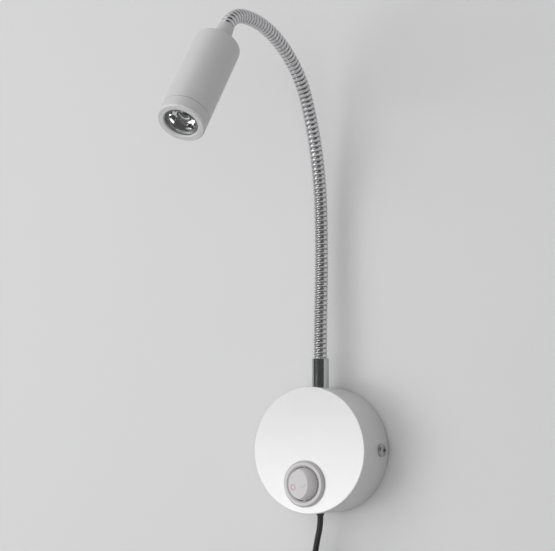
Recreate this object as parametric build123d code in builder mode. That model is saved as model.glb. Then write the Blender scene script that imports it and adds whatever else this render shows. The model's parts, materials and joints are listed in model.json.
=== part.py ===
"""Bedside wall reading lamp: a wall drum with a rocker switch, a ribbed flexible neck and a spot head.

Millimetres. The wall is the plane Y = 0 and the lamp stands out of it toward -Y. +Z is up, and +X is to the
right of a person who faces the wall. The origin is on the wall, in the middle of the drum.
"""

import math
import os

from build123d import *

os.makedirs("parts", exist_ok=True)

# ---- Play between pieces ----
FIT = 0.1  # radial play of a piece that sits in another
SEAT = 0.3  # play between pieces that lie against each other
PIN_FIT = 0.05  # radial play of a hinge pin

# ---- Drum on the wall ----
DRUM_D = 80.0
DRUM_DEPTH = 34.7  # from the wall to the front face
DRUM_WALL = 2.0
DRUM_EDGE_R = 0.6
PLATE_INSET = 1.0  # the bracket's disc ends this far inside the drum's outer side
PLATE_T = 1.5
SLOT_SPACING = 50.0  # between the two wall screws
SLOT_WIDTH = 4.5
SLOT_LENGTH = 12.0
EAR_WIDTH = 12.0
EAR_LENGTH = 17.0
EAR_T = 1.5
EAR_GAP = 0.8  # between the ear's flat outer face and the drum's round inside, on the middle line

# ---- Side screws ----
SCREW_Y = -11.8
SCREW_D = 4.0
SCREW_LENGTH = 6.0
SCREW_HEAD_D = 8.2
SCREW_HEAD_H = 2.3
SCREW_DOME_R = 1.6
SCREW_CROSS_LENGTH = 4.2
SCREW_CROSS_WIDTH = 0.9
SCREW_CROSS_DEPTH = 1.3

# ---- Rocker switch ----
SWITCH_X = -2.4
SWITCH_UP = 18.8  # from the drum's lowest point to the switch's middle
BEZEL_D = 29.2
BEZEL_H = 2.5  # the rim stands this proud of the drum's front
BEZEL_RIM_D = 26.8
BEZEL_EDGE_H = 1.0  # upright part of the bezel's outer side
SWITCH_BORE_D = 21.6
SWITCH_BORE_CHAMFER = 1.0
BARREL_D = 24.8
BARREL_DEPTH = 14.0  # from the drum's front face to the back of the switch
BARREL_FLOOR = 1.5
CLIP_WIDTH = 6.0
CLIP_LENGTH = 4.0
CLIP_H = 0.8
ROCKER_PIVOT_DEPTH = 2.8  # pivot below the rim
ROCKER_R = 10.5  # the rocker's round side is part of a ball about its pivot
ROCKER_CROWN = 5.4  # pivot to the crease between the two paddles
PADDLE_ANGLE = 5.0  # each paddle rises from the crease at this angle
ROCKER_SKIRT = 1.5  # the rocker's underside below the pivot
ROCKER_TILT = 16.0  # to each side of level
ROCKER_PIN_D = 2.4
ROCKER_PIN_REACH = 12.1  # from the middle to each pin's end
STEM_SIZE = 5.2
STEM_REACH = 5.6
PLUNGER_D = 2.6
PLUNGER_REACH = 7.5
PLUNGER_LENGTH = 4.5
LEVER_PIVOT_DEPTH = 8.0  # behind the rocker's pivot
LEVER_LENGTH = 15.0
LEVER_WIDTH = 4.4
LEVER_T = 0.6
LEVER_TILT = 7.0
CONTACT_REACH = 6.5  # from the middle blade to the contact blade
CONTACT_GAP = 0.15
BLADE_WIDTH = 4.8
BLADE_T = 0.8
BLADE_REACH = 7.5  # behind the switch
SLEEVE_WALL = 0.8
SLEEVE_LENGTH = 7.5

# ---- Power supply in the drum ----
CASE_WIDTH = 40.0
CASE_BOTTOM_Z = -3.0
CASE_TOP_Z = 23.0
CASE_DEPTH = 16.7
CASE_WALL = 1.2
LID_T = 1.3
LID_LIP = 1.5
BOARD_T = 1.6
BOARD_MARGIN = 0.8  # board edge to case wall
CORE_SIZE = (14.0, 12.0, 9.5)
COIL_FORMER_D = 9.0
COIL_FORMER_LENGTH = 15.0
CAPACITOR_D = 6.3
CAPACITOR_H = 10.5
CAPACITOR_INSET = 5.8  # from the case's inner side to a capacitor's middle
CAPACITOR_RISES = (-6.0, 5.5)  # from the case's middle line
CORE_INSET = 10.8  # from the case's other inner side to the core's middle

# ---- Neck ----
NECK_BEHIND = 16.3  # from the drum's front face to the neck's and the cord's middle line
COLLAR_D = 11.0
COLLAR_LENGTH = 19.0
COLLAR_CHAMFER = 0.8
SHANK_D = 8.0
SHANK_LENGTH = 9.5  # below the drum's outer face
WASHER_D = 14.0
WASHER_T = 1.0
NUT_ACROSS_FLATS = 13.0
NUT_H = 4.0
HOSE_D = 8.8
HOSE_ROOT_D = 7.8
HOSE_BORE_D = 4.4
RIB_PITCH = 3.1
RIB_SHARES = (0.16, 0.36, 0.64, 0.84)  # foot, crest, crest and foot of a rib, in shares of the pitch
RIBS_IN_COLLAR = 3
FIRST_RIBS = 12  # from the collar's top to the first joint
RIBS_PER_SECTION = 7
JOINTS = 11
LAST_RIBS = 13  # from the last joint to the hose's end in the head's stub
BALL_D = 6.4
BALL_PLAY = 0.2
LEAD_D = 2.6
LEAD_END_GAP = 0.35  # from each joint to the lead's end
# Length of each stretch of the neck's centre line from the collar's top, and its turn toward the front.
NECK_LENGTHS = (38.8, 58.1, 73.5, 22.9, 67.2, 22.7, 16.5)
NECK_TURNS = (-2.8, 6.0, 25.0, 23.3, 48.2, 46.6, 0.0)

# ---- Head ----
HEAD_D = 28.0
HEAD_LENGTH = 65.0
HEAD_WALL = 1.8
HEAD_BACK = 3.0
HEAD_EDGE_R = 1.2
RING_LENGTH = 8.0
RING_LIP_T = 1.1
RING_APERTURE_D = 19.7
RING_CHAMFER = 0.7
RING_EDGE_CHAMFER = 0.8
SEAM_WIDTH = 0.35  # groove round the ring, against the head
SEAM_DEPTH = 0.6
RING_SPIGOT_LENGTH = 6.0
RING_SPIGOT_WALL = 0.9
STUB_LENGTH = 16.5
STUB_TIP_D = 9.6
STUB_ROOT_D = 12.4
STUB_SHANK_LENGTH = 7.5
STUB_NUT_H = 3.5
STUB_NUT_ACROSS = 12.0
HEAT_SINK_LENGTH = 14.0
HEAT_SINK_FINS = 5
HEAT_SINK_GROOVE = 1.4
LED_BOARD_D = 20.0
LED_BOARD_T = 1.6
EMITTER_D = 5.6
EMITTER_BASE_H = 1.0
LED_SCREW_D = 2.0
LED_SCREW_HEAD_D = 3.6
LED_SCREW_HEAD_H = 1.2
LED_SCREW_LENGTH = 5.0
LED_SCREW_CIRCLE_D = 14.0
LENS_D = 19.0
LENS_BACK_D = 9.0
LENS_FLANGE_T = 2.0
LENS_LENGTH = 9.0
LENS_STANDOFF = 2.1  # from the LED board's face to the lens
LENS_POCKET_D = 7.0
LENS_POCKET_DEPTH = 3.6
HOLDER_LEDGE = 2.2

# ---- Cord ----
CORD_D = 3.8
GLAND_FLANGE_D = 9.0
GLAND_FLANGE_T = 1.5
GLAND_NECK_D = 5.4
GLAND_TIP_D = 4.4
GLAND_TIP_H = 1.5
GLAND_INNER_H = 1.2
CORE_OUT = 1.1  # each core's distance from the cord's middle
WIRE_D = 1.6
WIRE_BEND_R = 1.9
WIRE_RISE = 4.5  # straight up from the bushing
WIRE_SLANT = 4.0  # further up while the wire goes back
WIRE_BACK = 4.3  # behind the terminal sleeves
WIRE_FRONT = 0.4  # behind the cord's middle line, where a wire enters the case
WIRE_ENTRY = 5.0  # straight up into the case
DRIVER_WIRE_X = 6.5
CORD_DROP = 6.4  # straight down from the bushing's tip
CORD_BENDS = ((-2.9, 0.6, -16.7), (-7.4, 4.2, -31.0))  # from the bushing's tip
COIL_RUN = 16.5  # straight down to the coil's first turn
COIL_X = 18.0
COIL_Z = -102.0
COIL_PITCH = 5.0  # from turn to turn and from layer to layer
COIL_OUTER_R = 28.0
COIL_LAYER_HALF_TURNS = (5, 5, 5, 4)
COIL_ENTRY = 6.0
COIL_TAIL = 20.0
TIE_T = 1.0
TIE_WIDTH = 8.0
TIE_PLAY = 0.5
PLUG_RELIEF_LENGTH = 20.0
PLUG_RELIEF_D = (5.8, 9.0)
PLUG_WIDTH = 26.0
PLUG_T = 13.6
PLUG_LENGTH = 33.0
PLUG_SHOULDER = 11.0
PLUG_NECK = (13.0, 10.0)
PLUG_CORNER_R = 5.0
PLUG_PIN_D = 4.0
PLUG_PIN_LENGTH = 19.0
PLUG_PIN_SPACING = 18.6

DRUM_R = DRUM_D / 2
BORE_R = DRUM_R - DRUM_WALL
PLATE_R = DRUM_R - PLATE_INSET
SWITCH_Z = SWITCH_UP - DRUM_R
NECK_Y = CORD_Y = NECK_BEHIND - DRUM_DEPTH
COIL_CENTRE = (COIL_X, CORD_Y, COIL_Z)
WALL = Plane.XZ
X = Vector(1, 0, 0)
Y = Vector(0, 1, 0)
Z = Vector(0, 0, 1)


def save(piece, name):
    """Labels a finished piece and writes its file."""
    piece.part.label = name
    export_step(piece.part, f"parts/{name}.step")


def lathe_plane(origin, axis, radial=X):
    """Plane of a turned piece's outline: local x is the radius, local y runs along the axis."""
    return Plane(origin=origin, x_dir=radial, z_dir=radial.cross(axis))


def turned(plane, *outline):
    """Face bounded by straight lines through (radius, place along the axis) points."""
    with BuildSketch(plane) as section:
        with BuildLine():
            Polyline(*outline, close=True)
        make_face()
    return section.sketch


def axis_of(plane):
    """Axis that a lathe plane's outline turns about."""
    return Axis(plane.origin, plane.y_dir)


def wire_tube(points, bend_r, diameter):
    """Round insulated wire along straight runs joined by tangent arcs."""
    with BuildPart() as tube:
        with BuildLine() as route:
            FilletPolyline(*points, radius=bend_r)
        with BuildSketch(Plane(origin=route.line @ 0, z_dir=route.line % 0)):
            Circle(diameter / 2)
        sweep(path=route.line)
    return tube.part


# ==== Wall bracket and drum ====

# Sheet-steel bracket: a disc on the wall with a slot for each wall screw and two ears bent into the drum.
EAR_X = BORE_R - EAR_GAP - EAR_T
EAR_PLANE = Plane.YZ.offset(EAR_X)
with BuildPart() as wall_bracket:
    with BuildSketch(WALL):
        Circle(PLATE_R)
        with Locations((-SLOT_SPACING / 2, 0), (SLOT_SPACING / 2, 0)):
            SlotOverall(SLOT_LENGTH, SLOT_WIDTH, mode=Mode.SUBTRACT)
    extrude(amount=PLATE_T)
    with BuildSketch(EAR_PLANE):
        with Locations((-(PLATE_T + EAR_LENGTH) / 2, 0)):
            Rectangle(PLATE_T + EAR_LENGTH, EAR_WIDTH)
        with Locations((SCREW_Y, 0)):
            Circle(SCREW_D / 2 + PIN_FIT, mode=Mode.SUBTRACT)
    extrude(amount=EAR_T)
    mirror(about=Plane.YZ)
save(wall_bracket, "wall_bracket")

# Spun aluminium drum, open at the wall: its rim stands on the bracket's disc.
FRONT = WALL.offset(DRUM_DEPTH)
NECK_HOLE = Plane(origin=(0, NECK_Y, DRUM_R), z_dir=Z)
CORD_HOLE = Plane(origin=(0, CORD_Y, -DRUM_R), z_dir=-Z)
SCREW_HOLES = [Plane(origin=(side * DRUM_R, SCREW_Y, 0), z_dir=side * X) for side in (-1, 1)]
with BuildPart() as base_housing:
    with BuildSketch(WALL.offset(PLATE_T)):
        Circle(DRUM_R)
    extrude(amount=DRUM_DEPTH - PLATE_T)
    fillet(base_housing.faces().sort_by(Axis.Y)[0].edges(), DRUM_EDGE_R)
    with BuildSketch(WALL.offset(PLATE_T)):
        Circle(BORE_R)
    extrude(amount=DRUM_DEPTH - PLATE_T - DRUM_WALL, mode=Mode.SUBTRACT)
    with Locations(Plane(origin=(SWITCH_X, -DRUM_DEPTH, SWITCH_Z), z_dir=-Y)):
        Hole(BARREL_D / 2 + FIT, depth=2 * DRUM_WALL)
    with Locations(NECK_HOLE):
        Hole(SHANK_D / 2 + FIT, depth=2 * DRUM_WALL)
    with Locations(CORD_HOLE):
        Hole(GLAND_NECK_D / 2 + FIT, depth=2 * DRUM_WALL)
    with Locations(*SCREW_HOLES):
        Hole(SCREW_D / 2 + FIT, depth=2 * DRUM_WALL)
save(base_housing, "base_housing")

# Two cross-recess pan-head screws through the drum's sides into the bracket's ears.
SCREW_SECTION = lathe_plane((0, SCREW_Y, 0), X, radial=Z)
with BuildPart() as side_screws:
    revolve(
        turned(
            SCREW_SECTION,
            (0, DRUM_R - SCREW_LENGTH),
            (SCREW_D / 2, DRUM_R - SCREW_LENGTH),
            (SCREW_D / 2, DRUM_R),
            (SCREW_HEAD_D / 2, DRUM_R),
            (SCREW_HEAD_D / 2, DRUM_R + SCREW_HEAD_H),
            (0, DRUM_R + SCREW_HEAD_H),
        ),
        axis=axis_of(SCREW_SECTION),
    )
    fillet(side_screws.faces().sort_by(Axis.X)[-1].edges(), SCREW_DOME_R)
    with BuildSketch(Plane.YZ.offset(DRUM_R + SCREW_HEAD_H)):
        with Locations((SCREW_Y, 0)):
            Rectangle(SCREW_CROSS_LENGTH, SCREW_CROSS_WIDTH)
            Rectangle(SCREW_CROSS_WIDTH, SCREW_CROSS_LENGTH)
    extrude(amount=-SCREW_CROSS_DEPTH, mode=Mode.SUBTRACT)
    mirror(about=Plane.YZ)
save(side_screws, "side_screws")

# ==== Rocker switch ====

# Bezel and barrel in one moulding. Along its lathe plane, y is the distance from the wall.
SWITCH_SECTION = lathe_plane((SWITCH_X, 0, SWITCH_Z), -Y)
RIM = DRUM_DEPTH + BEZEL_H
BARREL_BACK = DRUM_DEPTH - BARREL_DEPTH
FLOOR_FRONT = BARREL_BACK + BARREL_FLOOR
SWITCH_BORE_R = SWITCH_BORE_D / 2
PIVOT_Y = -(RIM - ROCKER_PIVOT_DEPTH)
LEVER_PIVOT_Y = PIVOT_Y + LEVER_PIVOT_DEPTH
CONTACT_XS = (SWITCH_X - CONTACT_REACH, SWITCH_X)
with BuildPart() as switch_body:
    revolve(
        turned(
            SWITCH_SECTION,
            (0, BARREL_BACK),
            (BARREL_D / 2, BARREL_BACK),
            (BARREL_D / 2, DRUM_DEPTH),
            (BEZEL_D / 2, DRUM_DEPTH),
            (BEZEL_D / 2, DRUM_DEPTH + BEZEL_EDGE_H),
            (BEZEL_RIM_D / 2, RIM),
            (SWITCH_BORE_R + SWITCH_BORE_CHAMFER, RIM),
            (SWITCH_BORE_R, RIM - SWITCH_BORE_CHAMFER),
            (SWITCH_BORE_R, FLOOR_FRONT),
            (0, FLOOR_FRONT),
        ),
        axis=axis_of(SWITCH_SECTION),
    )
    with BuildSketch(WALL.offset(DRUM_DEPTH - DRUM_WALL - FIT)):
        with Locations(*[(SWITCH_X + side * BARREL_D / 2, SWITCH_Z) for side in (-1, 1)]):
            Rectangle(2 * CLIP_H, CLIP_WIDTH)
    extrude(amount=-CLIP_LENGTH)
    with BuildSketch(WALL.offset(FLOOR_FRONT)):
        with Locations((SWITCH_X, SWITCH_Z)):
            Circle(SWITCH_BORE_R)
    extrude(amount=RIM - SWITCH_BORE_CHAMFER - FLOOR_FRONT, mode=Mode.SUBTRACT)
    with BuildSketch(Plane.XY.offset(SWITCH_Z - BARREL_D)):
        with Locations((SWITCH_X, PIVOT_Y)):
            Circle(ROCKER_PIN_D / 2 + PIN_FIT)
    extrude(amount=2 * BARREL_D, mode=Mode.SUBTRACT)
    with BuildSketch(WALL.offset(BARREL_BACK)):
        with Locations(*[(x, SWITCH_Z) for x in CONTACT_XS]):
            Rectangle(BLADE_T + 2 * FIT, BLADE_WIDTH + 2 * FIT)
    extrude(amount=BARREL_FLOOR, mode=Mode.SUBTRACT)
save(switch_body, "switch_body")

# Rocker, with its left paddle pressed in. Its own y axis leans by the tilt; its round side is a ball's.
LEAN = math.radians(ROCKER_TILT)
ROCKER = Plane(
    origin=(SWITCH_X, PIVOT_Y, SWITCH_Z),
    x_dir=(math.cos(LEAN), -math.sin(LEAN), 0),
    z_dir=-Z,
)
PADDLE_RISE = ROCKER_R * math.tan(math.radians(PADDLE_ANGLE))
ROCKER_STEM = Plane(origin=ROCKER.origin, x_dir=ROCKER.x_dir, z_dir=-ROCKER.y_dir)
with BuildPart() as switch_rocker:
    with Locations(ROCKER):
        Sphere(ROCKER_R)
    with BuildSketch(ROCKER):
        with BuildLine():
            Polyline(
                (-ROCKER_R, ROCKER_CROWN + PADDLE_RISE),
                (0, ROCKER_CROWN),
                (ROCKER_R, ROCKER_CROWN + PADDLE_RISE),
                (ROCKER_R, -ROCKER_SKIRT),
                (-ROCKER_R, -ROCKER_SKIRT),
                close=True,
            )
        make_face()
    extrude(amount=ROCKER_R, both=True, mode=Mode.INTERSECT)
    with BuildSketch(ROCKER_STEM):
        Rectangle(STEM_SIZE, STEM_SIZE)
    extrude(amount=STEM_REACH)
    with BuildSketch(ROCKER_STEM.offset(PLUNGER_REACH - PLUNGER_LENGTH - SEAT)):
        Circle(PLUNGER_D / 2 + FIT)
    extrude(amount=STEM_REACH, mode=Mode.SUBTRACT)
    with BuildSketch(ROCKER):
        Circle(ROCKER_PIN_D / 2)
    extrude(amount=ROCKER_PIN_REACH, both=True)
save(switch_rocker, "switch_rocker")

# Round-nosed plunger in the rocker's stem, which pushes the contact lever over.
with BuildPart() as switch_plunger:
    with BuildSketch(ROCKER_STEM.offset(PLUNGER_REACH - PLUNGER_LENGTH)):
        Circle(PLUNGER_D / 2)
    extrude(amount=PLUNGER_LENGTH - PLUNGER_D / 2)
    with Locations(ROCKER_STEM.offset(PLUNGER_REACH - PLUNGER_D / 2)):
        Sphere(PLUNGER_D / 2)
save(switch_plunger, "switch_plunger")

# Copper lever that see-saws on the middle terminal, its right end pressed in at rest.
LEVER_LEAN = math.radians(LEVER_TILT)
LEVER = Plane(
    origin=(SWITCH_X, LEVER_PIVOT_Y, SWITCH_Z),
    x_dir=(math.cos(LEVER_LEAN), math.sin(LEVER_LEAN), 0),
    z_dir=Z,
)
with BuildPart() as contact_lever:
    with BuildSketch(LEVER):
        RectangleRounded(LEVER_LENGTH, LEVER_T, LEVER_T / 3)
    extrude(amount=LEVER_WIDTH / 2, both=True)
save(contact_lever, "contact_lever")

# Middle blade under the lever's pivot, and the contact blade under its left arm when that is pressed in.
LEVER_BACK_Y = LEVER_PIVOT_Y + LEVER_T / 2 / math.cos(LEVER_LEAN)
CONTACT_TOP_Y = LEVER_BACK_Y + CONTACT_REACH * math.tan(LEVER_LEAN) + CONTACT_GAP
BLADE_END_Y = -BARREL_BACK + BLADE_REACH
with BuildPart() as switch_terminals:
    for x, top_y in zip(CONTACT_XS, (CONTACT_TOP_Y, LEVER_BACK_Y + CONTACT_GAP)):
        with BuildSketch(Plane.XY.offset(SWITCH_Z)):
            with Locations((x, (BLADE_END_Y + top_y) / 2)):
                Rectangle(BLADE_T, BLADE_END_Y - top_y)
        extrude(amount=BLADE_WIDTH / 2, both=True)
save(switch_terminals, "switch_terminals")

# Insulated push-on sleeves over the two blades.
SLEEVE_END_Y = BLADE_END_Y + SLEEVE_WALL + FIT
SLEEVE_INSIDE = (BLADE_T + 2 * FIT, BLADE_WIDTH + 2 * FIT)
with BuildPart() as terminal_sleeves:
    with BuildSketch(WALL.offset(-SLEEVE_END_Y)):
        with Locations(*[(x, SWITCH_Z) for x in CONTACT_XS]):
            Rectangle(SLEEVE_INSIDE[0] + 2 * SLEEVE_WALL, SLEEVE_INSIDE[1] + 2 * SLEEVE_WALL)
    extrude(amount=SLEEVE_LENGTH)
    with BuildSketch(WALL.offset(-BLADE_END_Y - FIT)):
        with Locations(*[(x, SWITCH_Z) for x in CONTACT_XS]):
            Rectangle(*SLEEVE_INSIDE)
    extrude(amount=SLEEVE_LENGTH, mode=Mode.SUBTRACT)
save(terminal_sleeves, "terminal_sleeves")

# ==== Power supply ====

CASE_FRONT = DRUM_DEPTH - DRUM_WALL
CASE_BACK = CASE_FRONT - CASE_DEPTH
CASE_HEIGHT = CASE_TOP_Z - CASE_BOTTOM_Z
CASE_MIDDLE = (0, (CASE_TOP_Z + CASE_BOTTOM_Z) / 2)
CASE_INSIDE = (CASE_WIDTH - 2 * CASE_WALL, CASE_HEIGHT - 2 * CASE_WALL)
CORE_PLACE = (CASE_INSIDE[0] / 2 - CORE_INSET, CASE_MIDDLE[1])
CAPACITOR_X = CAPACITOR_INSET - CASE_INSIDE[0] / 2
CAPACITOR_PLACES = [(CAPACITOR_X, CASE_MIDDLE[1] + rise) for rise in CAPACITOR_RISES]
with BuildPart() as driver_case:
    with BuildSketch(WALL.offset(CASE_BACK)):
        with Locations(CASE_MIDDLE):
            Rectangle(CASE_WIDTH, CASE_HEIGHT)
    extrude(amount=CASE_DEPTH)
    fillet(driver_case.edges().filter_by(Axis.Y), CASE_WALL)
    with BuildSketch(WALL.offset(CASE_BACK)):
        with Locations(CASE_MIDDLE):
            Rectangle(*CASE_INSIDE)
    extrude(amount=CASE_DEPTH - CASE_WALL, mode=Mode.SUBTRACT)
save(driver_case, "driver_case")

with BuildPart() as driver_lid:
    with BuildSketch(WALL.offset(CASE_BACK - LID_T)):
        with Locations(CASE_MIDDLE):
            RectangleRounded(CASE_WIDTH, CASE_HEIGHT, CASE_WALL)
    extrude(amount=LID_T)
    with BuildSketch(WALL.offset(CASE_BACK)):
        with Locations(CASE_MIDDLE):
            Rectangle(CASE_INSIDE[0] - 2 * FIT, CASE_INSIDE[1] - 2 * FIT)
            Rectangle(
                CASE_INSIDE[0] - 2 * FIT - 2 * CASE_WALL,
                CASE_INSIDE[1] - 2 * FIT - 2 * CASE_WALL,
                mode=Mode.SUBTRACT,
            )
    extrude(amount=LID_LIP)
save(driver_lid, "driver_lid")

BOARD_BACK = CASE_FRONT - CASE_WALL - SEAT - BOARD_T
with BuildPart() as driver_board:
    with BuildSketch(WALL.offset(BOARD_BACK)):
        with Locations(CASE_MIDDLE):
            Rectangle(CASE_INSIDE[0] - 2 * BOARD_MARGIN, CASE_INSIDE[1] - 2 * BOARD_MARGIN)
    extrude(amount=BOARD_T)
save(driver_board, "driver_board")

# Small switching transformer: a square ferrite core with the round winding standing out of both ends.
with BuildPart() as driver_transformer:
    with BuildSketch(WALL.offset(BOARD_BACK)):
        with Locations(CORE_PLACE):
            Rectangle(CORE_SIZE[0], CORE_SIZE[1])
    extrude(amount=-CORE_SIZE[2])
    with BuildSketch(Plane.XY.offset(CORE_PLACE[1] - COIL_FORMER_LENGTH / 2)):
        with Locations((CORE_PLACE[0], -BOARD_BACK + CORE_SIZE[2] / 2)):
            Circle(COIL_FORMER_D / 2)
    extrude(amount=COIL_FORMER_LENGTH)
save(driver_transformer, "driver_transformer")

with BuildPart() as driver_capacitors:
    with BuildSketch(WALL.offset(BOARD_BACK)):
        with Locations(*CAPACITOR_PLACES):
            Circle(CAPACITOR_D / 2)
    extrude(amount=-CAPACITOR_H)
    chamfer(driver_capacitors.faces().group_by(Axis.Y)[-1].edges(), CASE_WALL / 3)
save(driver_capacitors, "driver_capacitors")

# ==== Neck ====

NECK_LENGTH = sum(NECK_LENGTHS)
NECK_MARKS = [sum(NECK_LENGTHS[:i]) for i in range(len(NECK_LENGTHS) + 1)]
COLLAR_TOP = DRUM_R + COLLAR_LENGTH


def neck_plane(place):
    """Plane square to the neck at this length from the collar's top, straight on past both ends."""
    y, z, heading = NECK_Y, COLLAR_TOP + min(place, 0), 0.0
    left = max(place, 0)
    for length, turn in zip((*NECK_LENGTHS, math.inf), (*NECK_TURNS, 0.0)):
        run = min(left, length)
        half_turn = math.radians(turn) * run / length / 2
        chord = run * math.sin(half_turn) / half_turn if half_turn else run
        y -= chord * math.sin(heading + half_turn)
        z += chord * math.cos(heading + half_turn)
        heading += 2 * half_turn
        left -= run
    return Plane(origin=(0, y, z), x_dir=X, z_dir=(0, -math.sin(heading), math.cos(heading)))


def neck_route(start, stop):
    """The neck's centre line between two lengths, as tangent arcs and straight runs."""
    marks = [start, *[mark for mark in NECK_MARKS if start < mark < stop], stop]
    with BuildLine() as route:
        for near, far in zip(marks, marks[1:]):
            ends = [neck_plane(place) for place in (near, (near + far) / 2, far)]
            if ends[0].z_dir.get_angle(ends[2].z_dir) > math.degrees(1e-6):
                ThreePointArc(*[end.origin for end in ends])
            else:
                Line(ends[0].origin, ends[2].origin)
    return route.line


# Chromed collar that the hose stands in, with a threaded shank through the drum's wall.
COLLAR_SECTION = lathe_plane((0, NECK_Y, 0), Z)
HOSE_SEAT = COLLAR_TOP - RIBS_IN_COLLAR * RIB_PITCH
with BuildPart() as neck_collar:
    with BuildSketch(Plane(origin=(0, NECK_Y, DRUM_R - DRUM_WALL), z_dir=Z)):
        Circle(COLLAR_D / 2)
    extrude(amount=COLLAR_LENGTH + DRUM_WALL)
    chamfer(neck_collar.faces().sort_by(Axis.Z)[-1].edges(), COLLAR_CHAMFER)
    with BuildSketch(WALL):
        Circle(DRUM_R + PIN_FIT)
    extrude(amount=DRUM_DEPTH, mode=Mode.SUBTRACT)
    with BuildSketch(Plane(origin=(0, NECK_Y, DRUM_R - SHANK_LENGTH), z_dir=Z)):
        Circle(SHANK_D / 2)
    extrude(amount=SHANK_LENGTH + DRUM_WALL)
    with BuildSketch(Plane(origin=(0, NECK_Y, DRUM_R - SHANK_LENGTH), z_dir=Z)):
        Circle(HOSE_BORE_D / 2)
    extrude(amount=SHANK_LENGTH + COLLAR_LENGTH, mode=Mode.SUBTRACT)
    with BuildSketch(Plane(origin=(0, NECK_Y, HOSE_SEAT), z_dir=Z)):
        Circle(HOSE_D / 2 + FIT)
    extrude(amount=COLLAR_LENGTH, mode=Mode.SUBTRACT)
save(neck_collar, "neck_collar")

WASHER_TOP = math.sqrt(BORE_R**2 - (WASHER_D / 2) ** 2) - FIT
with BuildPart() as neck_washer:
    with BuildSketch(Plane(origin=(0, NECK_Y, WASHER_TOP), z_dir=Z)):
        Circle(WASHER_D / 2)
        Circle(SHANK_D / 2 + FIT, mode=Mode.SUBTRACT)
    extrude(amount=-WASHER_T)
save(neck_washer, "neck_washer")

with BuildPart() as neck_nut:
    with BuildSketch(Plane(origin=(0, NECK_Y, WASHER_TOP - WASHER_T), z_dir=Z)):
        RegularPolygon(NUT_ACROSS_FLATS / 2, 6, major_radius=False)
        Circle(SHANK_D / 2 + PIN_FIT, mode=Mode.SUBTRACT)
    extrude(amount=-NUT_H)
save(neck_nut, "neck_nut")

# Ribbed steel hose, bent to its shape at rest. A section ends at each place where the neck gives, with a
# ball on the lower section's end in a socket of the next one's. One length of the lead lies in each.
JOINT_RIBS = [FIRST_RIBS + RIBS_PER_SECTION * i for i in range(JOINTS)]
SECTION_ENDS = [-RIBS_IN_COLLAR, *JOINT_RIBS, JOINT_RIBS[-1] + LAST_RIBS]
RIB_RADII = (HOSE_ROOT_D / 2, HOSE_D / 2, HOSE_D / 2, HOSE_ROOT_D / 2)
LENS_FRONT = HEAD_LENGTH - RING_LIP_T - SEAT
LENS_BACK = LENS_FRONT - LENS_LENGTH
HEAT_SINK_FRONT = LENS_BACK - LENS_STANDOFF - LED_BOARD_T
LEAD_START = CASE_TOP_Z - COLLAR_TOP
LEAD_END = NECK_LENGTH + HEAT_SINK_FRONT - SEAT
for number, (first, last) in enumerate(zip(SECTION_ENDS, SECTION_ENDS[1:]), start=1):
    bottom, top = first * RIB_PITCH, last * RIB_PITCH
    with BuildPart() as hose_section:
        for rib in range(first, last):
            for share, radius in zip(RIB_SHARES, RIB_RADII):
                with BuildSketch(neck_plane((rib + share) * RIB_PITCH)):
                    Circle(radius)
        loft(ruled=True)
        if number <= JOINTS:
            with Locations(neck_plane(top)):
                Sphere(BALL_D / 2)
        if number > 1:
            with Locations(neck_plane(bottom)):
                Sphere(BALL_D / 2 + BALL_PLAY, mode=Mode.SUBTRACT)
        bore = neck_route(bottom - BALL_D, top + BALL_D)
        with BuildSketch(neck_plane(bottom - BALL_D)):
            Circle(HOSE_BORE_D / 2)
        sweep(path=bore, mode=Mode.SUBTRACT)
    save(hose_section, f"hose_section_{number:02d}")

    lead_bottom = LEAD_START if number == 1 else bottom + LEAD_END_GAP
    lead_top = LEAD_END if number > JOINTS else top - LEAD_END_GAP
    with BuildPart() as lead_section:
        with BuildSketch(neck_plane(lead_bottom)):
            Circle(LEAD_D / 2)
        sweep(path=neck_route(lead_bottom, lead_top))
    save(lead_section, f"lead_section_{number:02d}")

# ==== Head ====

# The head stands square on the neck's end. Along its lathe plane, y is the distance from its flat back.
HEAD = neck_plane(NECK_LENGTH)
HEAD_SECTION = lathe_plane(HEAD.origin, HEAD.z_dir)
HEAD_AXIS = axis_of(HEAD_SECTION)
HEAD_R = HEAD_D / 2
HEAD_BORE_R = HEAD_R - HEAD_WALL
RING_SEAM = HEAD_LENGTH - RING_LENGTH
with BuildPart() as head_body:
    with BuildSketch(HEAD):
        Circle(HEAD_R)
    extrude(amount=RING_SEAM)
    fillet(head_body.edges().filter_by(GeomType.CIRCLE).sort_by(HEAD_AXIS)[0], HEAD_EDGE_R)
    with BuildSketch(HEAD.offset(HEAD_BACK)):
        Circle(HEAD_BORE_R)
    extrude(amount=HEAD_LENGTH, mode=Mode.SUBTRACT)
    with BuildSketch(HEAD):
        Circle(SHANK_D / 2 + FIT)
    extrude(amount=HEAD_BACK, mode=Mode.SUBTRACT)
save(head_body, "head_body")

# Conical stub that holds the hose's end, screwed through the head's back.
STUB_BORE_R = HOSE_D / 2 + FIT
STUB_FLOOR = NECK_LENGTH - SECTION_ENDS[-1] * RIB_PITCH
with BuildPart() as head_stub:
    revolve(
        turned(
            HEAD_SECTION,
            (HOSE_BORE_D / 2, -STUB_FLOOR),
            (STUB_BORE_R, -STUB_FLOOR),
            (STUB_BORE_R, -STUB_LENGTH),
            (STUB_TIP_D / 2, -STUB_LENGTH),
            (STUB_ROOT_D / 2, 0),
            (SHANK_D / 2, 0),
            (SHANK_D / 2, STUB_SHANK_LENGTH),
            (HOSE_BORE_D / 2, STUB_SHANK_LENGTH),
        ),
        axis=HEAD_AXIS,
    )
save(head_stub, "head_stub")

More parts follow.
